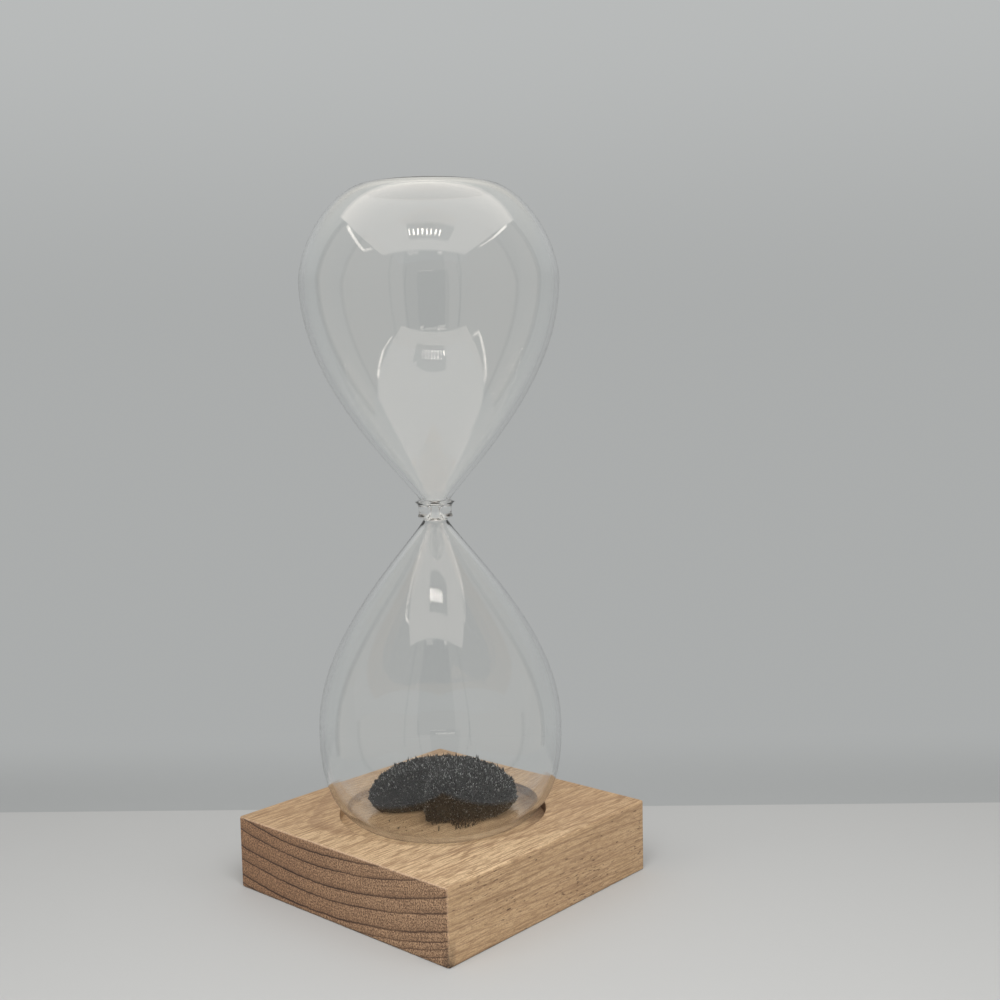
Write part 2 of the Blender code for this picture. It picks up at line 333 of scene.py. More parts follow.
def fill(made, sockets):
    """Fills a node's named or numbered inputs with values or other nodes' outputs."""
    for key, value in sockets.items():
        if isinstance(value, bpy.types.NodeSocket):
            made.id_data.links.new(value, made.inputs[key])
        else:
            made.inputs[key].default_value = value


def node(tree, kind, sockets=None, **settings):
    """Adds a shader node with its settings, and fills its inputs."""
    made = tree.nodes.new(kind)
    for key, value in settings.items():
        setattr(made, key, value)
    fill(made, sockets or {})
    return made


def maths(operation, first, second=0.0, third=0.0):
    """Works out a number from up to three. The first or second of them is another node's output."""
    tree = (first if isinstance(first, bpy.types.NodeSocket) else second).id_data
    sockets = {0: first, 1: second, 2: third}
    return node(tree, "ShaderNodeMath", sockets, operation=operation).outputs[0]


def times(first, second):
    return maths("MULTIPLY", first, second)


def ramp(value, low, high, to_low=0.0, to_high=1.0):
    """Maps low to high smoothly on to to_low to to_high."""
    sockets = {"Value": value, "From Min": low, "From Max": high, "To Min": to_low, "To Max": to_high}
    return node(value.id_data, "ShaderNodeMapRange", sockets, interpolation_type="SMOOTHSTEP").outputs[0]


def tint(share, first, second):
    """Mixes two colours by a share."""
    sockets = {0: share}
    for key, colour in ((6, first), (7, second)):
        sockets[key] = colour if isinstance(colour, bpy.types.NodeSocket) else (*colour, 1.0)
    return node(share.id_data, "ShaderNodeMix", sockets, data_type="RGBA").outputs[2]


def layered(colour, layers):
    """Lays further colours over a colour in turn, each by its own share."""
    for share, over in layers:
        colour = tint(share, colour, over)
    return colour


def noise(place, scale, detail=1.0, roughness=0.5):
    sockets = {"Vector": place, "Scale": scale, "Detail": detail, "Roughness": roughness}
    return node(place.id_data, "ShaderNodeTexNoise", sockets).outputs[0]


def stretched(place, scale):
    """Multiplies a place by a scale on each axis."""
    return node(place.id_data, "ShaderNodeVectorMath", {0: place, 1: scale}, operation="MULTIPLY").outputs[0]


def grain_noise(place, scale, detail=1.0, roughness=0.5):
    """Noise with its own scale on each axis: the smaller the scale, the longer its spots lie that way."""
    return noise(stretched(place, scale), 1.0, detail, roughness)


def new_group(name, numbers, outputs):
    """A shader node group that takes a place and named numbers, and gives named outputs."""
    group = bpy.data.node_groups.new(name, "ShaderNodeTree")
    group.interface.new_socket("Place", in_out="INPUT", socket_type="NodeSocketVector")
    for label, value in numbers.items():
        socket = group.interface.new_socket(label, in_out="INPUT", socket_type="NodeSocketFloat")
        socket.default_value = value
    for label, kind in outputs.items():
        group.interface.new_socket(label, in_out="OUTPUT", socket_type="NodeSocket" + kind)
    return group, group.nodes.new("NodeGroupInput").outputs, group.nodes.new("NodeGroupOutput")


def new_material(name, sockets=None):
    """A material with a Principled shader, whose named inputs take the values given."""
    material = bpy.data.materials.new(name)
    material.use_nodes = True
    shader = material.node_tree.nodes["Principled BSDF"]
    fill(shader, sockets or {})
    return material, material.node_tree, shader


def object_place(tree):
    """Where a point lies on the object, in millimetres."""
    place = tree.nodes.new("ShaderNodeTexCoord").outputs["Object"]
    return stretched(place, (1 / MM, 1 / MM, 1 / MM))


def attribute(tree, name):
    return node(tree, "ShaderNodeAttribute", attribute_name=name).outputs["Fac"]


def bump(shader, height, distance):
    """Raises the shader's surface by a height from 0 to 1, times a distance."""
    made = node(shader.id_data, "ShaderNodeBump", {"Height": height, "Distance": distance})
    fill(shader, {"Normal": made.outputs[0]})


def show_mixed(share, first, second, output="Material Output"):
    """Shows the first shader where share is 0, and the second where it is 1."""
    tree = share.id_data
    mixed = node(tree, "ShaderNodeMixShader", {0: share, 1: first, 2: second}).outputs[0]
    fill(tree.nodes[output], {"Surface": mixed})


def light_path(tree):
    return tree.nodes.new("ShaderNodeLightPath").outputs


def looked_at(path):
    """1 for a ray that sees, straight, through glass or mirrored, and 0 for one that lights."""
    seen = maths("MAXIMUM", path["Is Camera Ray"], path["Is Transmission Ray"])
    return maths("MAXIMUM", seen, path["Is Glossy Ray"])


def in_glass(path):
    """1 for a ray that clear glass has mirrored, also inside its own wall, and 0 for any other."""
    return times(path["Is Singular Ray"], maths("GREATER_THAN", path["Glossy Depth"], 0.5))


def grain_speckle_group():
    """Salt-and-pepper speckle of loose or pressed grains: a fine and a coarse noise added."""
    outputs = {"Shade": "Float", "Height": "Float"}
    group, given, made = new_group("grain_speckle", {"Grain size": 0.3, "Contrast": 0.5}, outputs)
    per_mm = maths("DIVIDE", 1.0, given["Grain size"])
    fine = noise(given["Place"], per_mm)
    coarse = noise(given["Place"], times(per_mm, 0.23), 2.0)
    centred = maths("SUBTRACT", maths("ADD", fine, coarse), 1.0)
    shade = maths("MULTIPLY_ADD", centred, given["Contrast"], 0.5)
    fill(made, {"Shade": shade, "Height": fine})
    return group


def speckled(tree, speckle, grain, contrast):
    """The speckle group laid over the object. Gives its outputs."""
    sockets = {"Place": object_place(tree), "Grain size": grain, "Contrast": contrast}
    return node(tree, "ShaderNodeGroup", sockets, node_tree=speckle).outputs


def ring_year(depth):
    """The year of a depth from the pith. Its whole part counts the rings, whose widths differ."""
    first, last = RING_DEPTHS[0], RING_DEPTHS[-1]
    sockets = {"Value": depth, "From Min": first, "From Max": last}
    share = node(depth.id_data, "ShaderNodeMapRange", sockets).outputs[0]
    table = node(depth.id_data, "ShaderNodeValToRGB", {0: share})
    stops = table.color_ramp.elements
    years = len(RING_DEPTHS) - 1
    for index, ring in enumerate(RING_DEPTHS):
        stop = stops[index] if index < 2 else stops.new(1.0)
        stop.position = (ring - first) / (last - first)
        stop.color = (*[index / years] * 3, 1.0)
    return times(table.outputs[0], float(years))


def growth_rings(place, split):
    """How much a point is late wood, a ring's dark line or a finer line, and its place round the pith.

    A ring's depth is the distance from the pith less a tenth of X, so that rings dip along the grain. Two
    noises, one wide and one narrow, make the rings wander and tremble.
    """
    across = maths("SUBTRACT", split["Y"], PITH[0])
    above = maths("SUBTRACT", PITH[1], split["Z"])
    squares = maths("ADD", maths("POWER", across, 2.0), maths("POWER", above, 2.0))
    from_pith = maths("SQRT", squares)
    wander = grain_noise(place, (0.012, 0.06, 0.06), 2.0)
    tremble = grain_noise(place, (0.03, 0.7, 0.35), 2.0)
    depth = maths("MULTIPLY_ADD", split["X"], -RING_DIP, from_pith)
    depth = maths("MULTIPLY_ADD", wander, RING_WANDER, depth)
    depth = maths("MULTIPLY_ADD", tremble, RING_TREMBLE, depth)
    at_end_face = (RING_WANDER + RING_TREMBLE) / 2 + RING_DIP * BLOCK_HALF / MM
    depth = maths("SUBTRACT", depth, at_end_face)
    year = maths("FRACT", ring_year(depth))
    late = maths("POWER", year, 3.0)
    line = times(ramp(year, 0.85, 0.945), ramp(year, 1.0, 0.985))
    fine_year = maths("FRACT", maths("DIVIDE", depth, FINE_RING))
    fine_line = times(ramp(fine_year, 0.5, 0.95), ramp(fine_year, 1.0, 0.96))
    turn = maths("DIVIDE", maths("ARCTAN2", across, above), 0.0080)
    out = times(from_pith, 0.20)
    round_pith = node(out.id_data, "ShaderNodeCombineXYZ", {0: turn, 1: out}).outputs[0]
    return late, line, fine_line, round_pith


def long_grain_colour(place, split, flat, late, line):
    """Colour of the faces along the grain. Gives the fibres and the dark flecks too, for the relief."""
    streak = grain_noise(place, (0.10, 0.9, 0.9), 3.0, 0.6)
    fibre = grain_noise(place, (0.40, 3.3, 3.3), 3.0, 0.62)
    grit = grain_noise(place, (2.2, 3.4, 3.4))
    thread = grain_noise(place, (0.035, 2.0, 2.0), 2.0, 0.55)
    broad = grain_noise(place, (0.03, 0.06, 0.06))
    dash = grain_noise(place, (0.24, 2.9, 2.9), 1.0, 0.4)
    dash = times(ramp(dash, 0.55, 0.60), flat)
    fleck = grain_noise(place, (0.62, 2.7, 2.7), 1.0, 0.4)
    fleck_patch = grain_noise(place, (0.05, 0.13, 0.13))
    fleck = ramp(maths("MULTIPLY_ADD", fleck_patch, 0.30, fleck), 0.825, 0.88)
    fleck = times(fleck, maths("MULTIPLY_ADD", flat, -0.8, 1.0))
    # Painted light: the top is paler towards the front corner, where more light falls on it
    towards_front = maths("ADD", split["X"], split["Y"])
    painted_front_light = times(ramp(towards_front, 8.0, -50.0), flat)
    layers = [
        (ramp(streak, 0.34, 0.66), (0.535, 0.353, 0.192)),
        (times(painted_front_light, 0.85), (0.790, 0.576, 0.350)),
        (ramp(fibre, 0.44, 0.64, 0.0, 0.58), (0.290, 0.170, 0.088)),
        (ramp(grit, 0.50, 0.66, 0.0, 0.34), (0.250, 0.145, 0.075)),
        (ramp(thread, 0.53, 0.60, 0.0, 0.50), (0.245, 0.140, 0.070)),
        (times(dash, 0.66), (0.250, 0.140, 0.066)),
        (times(late, 0.16), (0.33, 0.195, 0.105)),
        (times(line, 0.30), (0.22, 0.115, 0.06)),
        (times(fleck, 0.85), (0.105, 0.052, 0.027)),
        (ramp(broad, 0.35, 0.7, 0.0, 0.20), (0.46, 0.29, 0.165)),
    ]
    return layered((0.625, 0.426, 0.243), layers), fibre, fleck


def end_grain_colour(place, split, rings):
    """Colour of the end grain, with painted shade that darkens it towards one side, where its lines also
    fade. Gives the pores too, for the relief.
    """
    late, line, fine_line, round_pith = rings
    # Painted shade: the end grain darkens towards +Y, and its ring lines fade there
    left = ramp(split["Y"], -26.0, 32.0)
    ray = noise(round_pith, 2.6, 3.0, 0.65)
    pore = grain_noise(place, (0.3, 3.6, 3.0), 2.0, 0.65)
    patch = grain_noise(place, (0.1, 0.10, 0.35), 2.0)
    fading = ramp(left, 0.0, 0.6, 0.70, 1.0)
    strength = times(ramp(patch, 0.25, 0.6, 0.60, 1.0), fading)
    layers = [
        (left, (0.435, 0.242, 0.127)),
        (ramp(ray, 0.42, 0.60, 0.0, 0.42), (0.165, 0.084, 0.042)),
        (ramp(pore, 0.47, 0.57, 0.0, 0.92), (0.100, 0.048, 0.025)),
        (times(late, 0.60), (0.150, 0.072, 0.036)),
        (times(fine_line, ramp(patch, 0.35, 0.65, 0.0, 0.50)), (0.125, 0.060, 0.032)),
        (times(line, strength), (0.036, 0.014, 0.007)),
    ]
    return layered((0.540, 0.340, 0.196), layers), pore


def beech_group():
    """Solid beech: growth rings round a pith high above the block, and fibres and flecks along X."""
    outputs = {"Colour": "Color", "Roughness": "Float", "Height": "Float"}
    group, given, made = new_group("beech", {"End grain": 0.0, "Flat grain": 0.0}, outputs)
    place = given["Place"]
    split = node(group, "ShaderNodeSeparateXYZ", {0: place}).outputs
    rings = growth_rings(place, split)
    late, line = rings[:2]
    flat = given["Flat grain"]
    long_colour, fibre, fleck = long_grain_colour(place, split, flat, late, line)
    end_colour, pore = end_grain_colour(place, split, rings)
    colour = tint(given["End grain"], long_colour, end_colour)
    grooves = maths("MULTIPLY_ADD", fleck, -1.2, times(fibre, -0.8))
    end_grooves = maths("MULTIPLY_ADD", line, -0.5, times(pore, -0.6))
    sockets = {0: given["End grain"], 2: grooves, 3: end_grooves}
    relief = node(group, "ShaderNodeMix", sockets, data_type="FLOAT").outputs[0]
    fill(made, {"Colour": colour, "Roughness": ramp(fibre, 0.3, 0.7, 0.50, 0.66), "Height": relief})
    return group


def beech_material():
    """The beech group, with a painted highlight on the edges round the end grain, painted shade in the seat,
    and a painted contact shadow along the foot that is darker at the front corner.

    Its image in the glass is dimmed, so that the powder behind that image stays dark.
    """
    material, tree, shader = new_material("beech_block")
    place = object_place(tree)
    end_grain, flat_grain = attribute(tree, "end_grain"), attribute(tree, "flat_grain")
    sockets = {"Place": place, "End grain": end_grain, "Flat grain": flat_grain}
    wood = node(tree, "ShaderNodeGroup", sockets, node_tree=beech_group()).outputs
    specks = noise(place, 2.6, 3.0)
    layers = [
        # Painted highlight on the edges of the ends
        (times(attribute(tree, "painted_edge_highlight"), ramp(specks, 0.30, 0.60, 0.2, 0.7)), EDGE_HIGHLIGHT_TAN),
        # Painted shade in the seat, on the side where its rim blocks the light
        (times(attribute(tree, "painted_seat_shade"), ramp(specks, 0.30, 0.60, 0.6, 0.95)), SEAT_SHADE_BROWN),
        # Painted contact shadow along the foot, darker at the front corner
        (times(attribute(tree, "dark_corner_and_foot_shadow"), ramp(specks, 0.34, 0.56, 0.35, 1.0)), CORNER_AND_FOOT_SHADOW_BROWN),
        (times(in_glass(light_path(tree)), MIRRORED_DIMMING), MIRRORED_SHADE),
    ]
    fill(shader, {"Base Color": layered(wood["Colour"], layers), "Roughness": wood["Roughness"]})
    bump(shader, wood["Height"], 0.06 * MM)
    return material


def glass_material():
    """Clear glass. Lamps and daylight reach what is inside it."""
    sockets = {"Base Color": (*GLASS_TINT, 1.0), "Roughness": 0.0, "IOR": 1.47, "Transmission Weight": 1.0}
    material, tree, shader = new_material("blown_glass", sockets)
    path = light_path(tree)
    passing = maths("MAXIMUM", path["Is Shadow Ray"], path["Is Diffuse Ray"])
    clear = node(tree, "ShaderNodeBsdfTransparent", {0: (*SHADOW_TINT, 1.0)}).outputs[0]
    show_mixed(passing, shader.outputs[0], clear)
    return material


def powder_material(name, speckle, dark, pale):
    """Iron grains: each needle's shade, which is its own tone with painted shade towards its root and
    brighter at its tip, and a speckle over it.
    """
    material, tree, shader = new_material(name, {"Metallic": 0.35, "Specular IOR Level": 0.3})
    grains = speckled(tree, speckle, 0.16, 0.9)
    own = attribute(tree, "shade")
    share = times(own, maths("MULTIPLY_ADD", grains["Shade"], 1.2, 0.4))
    fill(shader, {"Base Color": tint(share, dark, pale), "Roughness": ramp(own, 0.0, 1.0, 0.62, 0.34)})
    bump(shader, grains["Height"], 0.05 * MM)
    return material


def pressed_material(name, speckle, dark, pale, grain, relief, sockets):
    """Pressed felt or sintered ferrite: a speckle of two shades with a matching relief."""
    material, tree, shader = new_material(name, sockets)
    grains = speckled(tree, speckle, grain, 1.2)
    fill(shader, {"Base Color": tint(grains["Shade"], dark, pale)})
    bump(shader, grains["Height"], relief)
    return material


def bulb_radius(bulb, distance):
    """A bulb's outer radius at a distance from the neck.

    Up to the widest place it is the waist and a raised sine added as squares.
    Beyond it, a quarter of a superellipse closes to the flat end.
    """
    swell = np.sin(math.pi / 2 * np.clip(distance / bulb.widest, 0, 1) ** bulb.power)
    cone = np.sqrt(bulb.waist**2 + (bulb.radius**2 - bulb.waist**2) * swell**2)
    share = np.clip((distance - bulb.widest) / (HALF_HEIGHT - bulb.widest), 0, 1)
    inward = (1 - share**bulb.shoulder) ** (1 / bulb.shoulder)
    shoulder = bulb.flat + (bulb.radius - bulb.flat) * inward
    return np.where(distance < bulb.widest, cone, shoulder)


def half_outline(bulb):
    """(radius, distance) rows from the neck's middle to the flat end's centre, closest where it bends."""
    widest = bulb.widest
    near = NEAR_NECK * np.linspace(0, 1, 24, endpoint=False)
    cone = NEAR_NECK + (widest - NEAR_NECK) * np.linspace(0, 1, 56, endpoint=False) ** 1.1
    turn = np.linspace(0, math.pi / 2, 40)
    shoulder = widest + (HALF_HEIGHT - widest) * np.sin(turn) ** (2 / bulb.shoulder)
    distance = np.concatenate([near, cone, shoulder])
    flat = bulb.flat * np.linspace(1, 0, 8)[1:-1]
    radius = np.concatenate([bulb_radius(bulb, distance), flat])
    distance = np.concatenate([distance, np.full(len(flat), HALF_HEIGHT)])
    return np.stack([radius, distance], axis=1)


def melted(height, melts):
    """0 near the neck's middle and 1 far from it, eased between two distances above it and two below."""
    above, below = melts
    return np.where(height > 0, smooth_step(height, *above), smooth_step(-height, *below))


def glass_outline():
    """Outer (radius, height above the neck) rows from the foot up, with the fused knob between the bulbs.

    The knob is a plain waist with two lips, and melts into each cone. The upper lip is sharp, the exponential
    of the distance from it. The lower one is smaller and round, the exponential of that distance squared.
    """
    upper = half_outline(UPPER_BULB)
    lower = half_outline(LOWER_BULB)[:0:-1] * (1, -1)
    outline = np.concatenate([lower, upper])
    height = outline[:, 1]
    from_upper = (height - UPPER_LIP.place) / UPPER_LIP.width
    from_lower = (height - LOWER_LIP.place) / LOWER_LIP.width
    knob = KNOB_RADIUS + UPPER_LIP.raised * np.exp(-np.abs(from_upper))
    knob += LOWER_LIP.raised * np.exp(-(from_lower**2))
    outline[:, 0] = blend(knob, outline[:, 0], melted(height, KNOB_MELTS))
    return outline


def glass_lining(outline):
    """Inner rows: the outline moved in by the wall, and near the neck an hourglass bore.

    The bore's radius is the orifice and a slope added as squares.
    """
    height = outline[:, 1]
    along = unit(np.gradient(outline, axis=0))
    inward = np.stack([-along[:, 1], along[:, 0]], axis=1)
    lining = outline + WALL * inward
    lining[:, 0] = np.maximum(lining[:, 0], LEAST_RADIUS)
    slope = np.where(height > 0, *BORE_SLOPES)
    bore = np.stack([np.hypot(ORIFICE_RADIUS, slope * height), height], axis=1)
    return blend(bore, lining, melted(height, BORE_MELTS)[:, None])


def blown(rings):
    """The same rings a little out of round: each radius times 1 and a smooth noise of the place."""
    random = np.random.RandomState(RANDOM_SEED + 2)
    wave = value_noise(rings.reshape(-1, 3), WAVE_SIZE, random).reshape(rings.shape[:2])
    swell = 1 + WAVE_SHARE * wave
    return rings * np.stack([swell, swell, np.ones_like(swell)], axis=-1)


def build_glass(material):
    """One fused glass: an outer skin that climbs from the foot, and a lining that looks into the hollow."""
    outline = glass_outline()
    lining = glass_lining(outline)
    up = (0, NECK_CENTRE)
    foot, top = NECK_CENTRE - HALF_HEIGHT, NECK_CENTRE + HALF_HEIGHT
    outer_rings = blown(turned(outline + up, GLASS_STEPS))
    inner_rings = blown(turned(lining[::-1] + up, GLASS_STEPS))
    outer, outer_faces = skin(outer_rings, (0, 0, foot), (0, 0, top))
    inner, inner_faces = skin(inner_rings, (0, 0, top - WALL), (0, 0, foot + WALL), len(outer))
    glass = mesh_object("blown_glass", np.concatenate([outer, inner]), outer_faces + inner_faces, material)
    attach(glass, "glass")
    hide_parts("upper_bulb", "neck_joint", "lower_bulb")
    return lining + up


def square_ring(half, corner):
    """Points round a square with rounded corners, anticlockwise, as an array of (x, y)."""
    flat = np.linspace(-1, 1, SIDE_STEPS, endpoint=False) * (half - corner)
    bend = np.linspace(0, math.pi / 2, CORNER_STEPS, endpoint=False)
    side = np.stack([np.full(SIDE_STEPS, half), flat], axis=1)
    arc = half - corner + corner * np.stack([np.cos(bend), np.sin(bend)], axis=1)
    quarter = np.concatenate([side, arc])
    quarters = []
    for turn in np.arange(4) * math.pi / 2:
        cosine, sine = math.cos(turn), math.sin(turn)
        quarters.append(quarter @ np.array([[cosine, sine], [-sine, cosine]]))
    return np.concatenate(quarters)


def block_rings():
    """Rings from the seat's floor over the top, down the sides and in under the block to the pocket."""
    direction = unit(square_ring(BLOCK_HALF, CORNER_RADIUS))
    rings = []

    def between(radius, inset, height, share):
        """Adds a circle where share is 0, and the block's square less an inset where it is 1."""
        square_points = square_ring(BLOCK_HALF - inset, max(CORNER_RADIUS - inset, LEAST_CORNER))
        flat = blend(direction * radius, square_points, share)
        rings.append(np.column_stack([flat, np.full(len(flat), height)]))

    def circle(radius, height):
        between(radius, 0, height, 0)

    def square(inset, height):
        between(0, inset, height, 1)

    bends = [(1 - math.cos(turn), 1 - math.sin(turn)) for turn in np.linspace(0, math.pi / 2, 5)]
    for share in (0.2, 0.5, 0.8, 0.85, 0.9, 0.95, 0.985):
        circle(SEAT_RADIUS * share, SEAT_FLOOR)
    circle(SEAT_RADIUS - 0.02 * MM, SEAT_FLOOR)
    circle(SEAT_RADIUS, SEAT_FLOOR + 0.05 * MM)
    circle(SEAT_RADIUS, SEAT_FLOOR + 0.8 * MM)
    for rising, falling in bends:
        circle(SEAT_RADIUS + SEAT_EDGE * rising, BLOCK_TOP - SEAT_EDGE * falling)
    for share in (0.02, 0.25, 0.5, 0.75, 0.97):
        between(SEAT_RADIUS + SEAT_EDGE, EDGE_RADIUS, BLOCK_TOP, share)
    for rising, falling in bends:
        square(EDGE_RADIUS * falling, BLOCK_TOP - EDGE_RADIUS * rising)
    for share in (0.06, 0.3, 0.6, 0.94):
        square(0, blend(BLOCK_TOP - EDGE_RADIUS, EDGE_RADIUS, share))
    for rising, falling in bends:
        square(EDGE_RADIUS * rising, EDGE_RADIUS * falling)
    for share in (0.97, 0.6, 0.3, 0.02):
        between(FELT_STEP_RADIUS, EDGE_RADIUS, 0, share)
    circle(FELT_STEP_RADIUS, 0)
    circle(FELT_STEP_RADIUS, CREASE)
    circle(FELT_STEP_RADIUS, FELT_STEP_TOP - CREASE)
    circle(FELT_STEP_RADIUS, FELT_STEP_TOP)
    circle(POCKET_RADIUS + CREASE, FELT_STEP_TOP)
    circle(POCKET_RADIUS, FELT_STEP_TOP)
    circle(POCKET_RADIUS, FELT_STEP_TOP + CREASE)
    circle(POCKET_RADIUS, POCKET_TOP - CREASE)
    circle(POCKET_RADIUS, POCKET_TOP)
    circle(POCKET_RADIUS * 0.6, POCKET_TOP)
    return np.array(rings)


def block_looks(rings, points):
    """Shares from 0 to 1 of each look, for every point of the block.

    End grain shows where the skin faces along X, and flat grain where it faces up or down. A painted contact
    shadow darkens the foot within a third of a millimetre of the table, and the front corner is darker still.
    Painted shade in the seat is a bell curve of the angle round it, on its floor's outer part and its wall.
    The ends' edges get a painted highlight.
    """
    around = np.roll(rings, -1, axis=1) - np.roll(rings, 1, axis=1)
    onward = np.gradient(rings, axis=0)
    facing = np.cross(around, onward)
    facing /= np.maximum(np.linalg.norm(facing, axis=-1, keepdims=True), 1e-12)
    end_grain = smooth_step(np.abs(facing[..., 0]), 0.55, 0.85).ravel()
    flat_grain = smooth_step(np.abs(facing[..., 2]), 0.45, 0.8).ravel()
    height = points[:, 2]
    # Painted contact shadow along the foot, and a darker front corner
    from_corner = np.linalg.norm(points - np.array(DARK_CORNER), axis=1)
    dark_corner_and_foot_shadow = 1 - smooth_step(from_corner, 0.4 * MM, 2.4 * MM)
    dark_corner_and_foot_shadow = np.maximum(dark_corner_and_foot_shadow, 0.75 * (1 - smooth_step(height, 0.0, 0.34 * MM)))
    # Painted shade on the seat's outer floor and its wall, a bell curve round the seat
    from_axis = np.hypot(points[:, 0], points[:, 1])
    in_seat = smooth_step(from_axis, 16.5 * MM, 19.0 * MM)
    in_seat *= 1 - smooth_step(from_axis, 21.55 * MM, 21.65 * MM)
    in_seat *= smooth_step(height, 12 * MM, 12.6 * MM)
    round_seat = np.degrees(np.arctan2(points[:, 1], points[:, 0]))
    painted_seat_shade = in_seat * np.exp(-(((round_seat - SEAT_SHADE_FACING) / SEAT_SHADE_SPREAD) ** 2))
    # Painted highlight along the edges of the ends
    inset = np.column_stack([BLOCK_HALF - np.abs(points[:, :2]), BLOCK_TOP - height])
    near_end, near_side, near_top = 1 - smooth_step(inset.T, 0.10 * MM, 0.34 * MM)
    return {
        "end_grain": np.concatenate([[0.0], end_grain, [0.0]]),
        "flat_grain": np.concatenate([[1.0], flat_grain, [1.0]]),
        "dark_corner_and_foot_shadow": dark_corner_and_foot_shadow,
        "painted_edge_highlight": near_end * np.maximum(near_side, near_top),
        "painted_seat_shade": painted_seat_shade,
    }


def build_block(material):
    """The beech block, with its seat above and the pocket for the magnet and the felt below."""
    rings = block_rings()[::-1]
    points, faces = skin(rings, (0, 0, POCKET_TOP), (0, 0, SEAT_FLOOR))
    block = mesh_object("beech_block", points, faces, material, block_looks(rings, points))
    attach(block, "base")
    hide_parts("base_block")


def either_way_up(lining, from_neck):
    """The lining's rows past a distance from the neck, floor first, as it stands and turned over."""
    standing = lining[lining[:, 1] < NECK_CENTRE - from_neck]
    turned_over = lining[lining[:, 1] > NECK_CENTRE + from_neck][::-1] * (1, -1) + (0, 2 * NECK_CENTRE)
    return standing, turned_over


def powder_floor(lining):
    """(radius, height) rows that powder can lie on whichever bulb is below: the higher of the two floors."""
    standing, turned_over = either_way_up(lining, FLOOR_FROM_NECK)
    height = np.interp(standing[:, 0], turned_over[:, 0], turned_over[:, 1])
    return np.stack([standing[:, 0], np.maximum(standing[:, 1], height)], axis=1)


def heap_reach(angle):
    """How far the heap reaches from its middle, and how much of that is cut away, in each direction.

    It fills a circle about the glass's axis, less a straight front and a wedge between two straight edges.
    The front melts into the circle, because the lesser of the two is taken with powers of eight.
    """
    ahead = HEAP_SHIFT * np.cos(angle - HEAP_SHIFT_FACING)
    circle = np.sqrt(HEAP_RADIUS**2 - HEAP_SHIFT**2 + ahead**2) - ahead
    towards = [np.cos(angle - facing) for _, facing in (FRONT, BITE_SIDE, BITE_BACK)]
    cuts = zip((FRONT, BITE_SIDE, BITE_BACK), towards)
    front, to_side, to_back = [distance / np.maximum(cosine, 0.1) for (distance, _), cosine in cuts]
    whole = (circle**-8.0 + front**-8.0) ** -0.125
    bitten = np.minimum(np.maximum(to_side, to_back), whole)
    reach = np.where((towards[1] > 0) & (towards[2] > 0), bitten, whole)
    return reach, circle - reach


def heap_rings(lining, random):
    """The heap's top as rings that shrink to the crown, and its narrower underside laid on the glass floor.

    The top is a dome, less a slope wherever the heap is cut short. Its rim hangs over the underside, and lies
    lower along the cuts. Gives the rings and the two poles. The first UNDER_STEPS rings lie on the floor.
    """
    floor, _ = either_way_up(lining, FLOOR_FROM_NECK)
    clear_floor = powder_floor(lining)
    middle = HEAP_SHIFT * np.array([math.cos(HEAP_SHIFT_FACING), math.sin(HEAP_SHIFT_FACING)])
    angle = np.linspace(0, 2 * math.pi, HEAP_STEPS, endpoint=False)

    def spots(radius):
        return middle[0] + radius * np.cos(angle), middle[1] + radius * np.sin(angle)

    def floor_height(radius, rows):
        return np.interp(np.hypot(*spots(radius)), rows[:, 0], rows[:, 1])

    def crown(radius):
        share = np.clip(radius / HEAP_RADIUS, 0, 1)
        dome = HEAP_CROWN * (1 - share**HEAP_ROUNDNESS) ** HEAP_FULLNESS
        return floor[:, 1].min() + HEAP_EDGE_HEIGHT + dome

    rim = RIM_NOISE_RADIUS * np.column_stack([np.cos(angle), np.sin(angle), angle * 0])
    reach, cut = heap_reach(angle)
    reach = reach + HEAP_RAGGEDNESS * value_noise(rim, RIM_NOISE_SIZE, random)
    edge = blend(HEAP_EDGE_HEIGHT, CUT_EDGE_HEIGHT, smooth_step(cut, 0.5 * MM, 4 * MM))
    edge = floor_height(reach, floor) + edge
    over = np.linspace(1, 0, 61)[:-1, None]
    top_radius = reach * np.sin(over * math.pi / 2)
    top_height = crown(top_radius) - (crown(reach) - edge) * over**CUT_SLOPE_POWER
    under = np.linspace(0.08, 1, UNDER_STEPS)[:, None]
    bottom_radius = reach * (1 - HEAP_UNDERCUT) * under
    bottom_height = floor_height(bottom_radius, clear_floor) + POWDER_GAP
    lip = np.array([0.35, 0.70, 0.92])[:, None]
    lip_radius = blend(bottom_radius[-1], reach, lip)
    lip_height = blend(bottom_height[-1], edge, lip**1.4)
    radius = np.concatenate([bottom_radius, lip_radius, top_radius])
    height = np.concatenate([bottom_height, lip_height, top_height])
    rings = np.stack([*spots(radius), height], axis=-1)
    small_lumps = value_noise(rings.reshape(-1, 3), 0.55 * MM, random)
    wide_lumps = value_noise(rings.reshape(-1, 3), 1.7 * MM, random)
    lumps = (small_lumps + 0.8 * wide_lumps).reshape(radius.shape)
    lumps *= smooth_step(np.arange(len(rings)), UNDER_STEPS - 1, UNDER_STEPS + 4)[:, None]
    rings[:, :, 2] += HEAP_LUMPS * lumps
    foot = float(clear_floor[:, 1].min()) + POWDER_GAP
    return rings, (*middle, foot), (*middle, float(crown(0.0)))


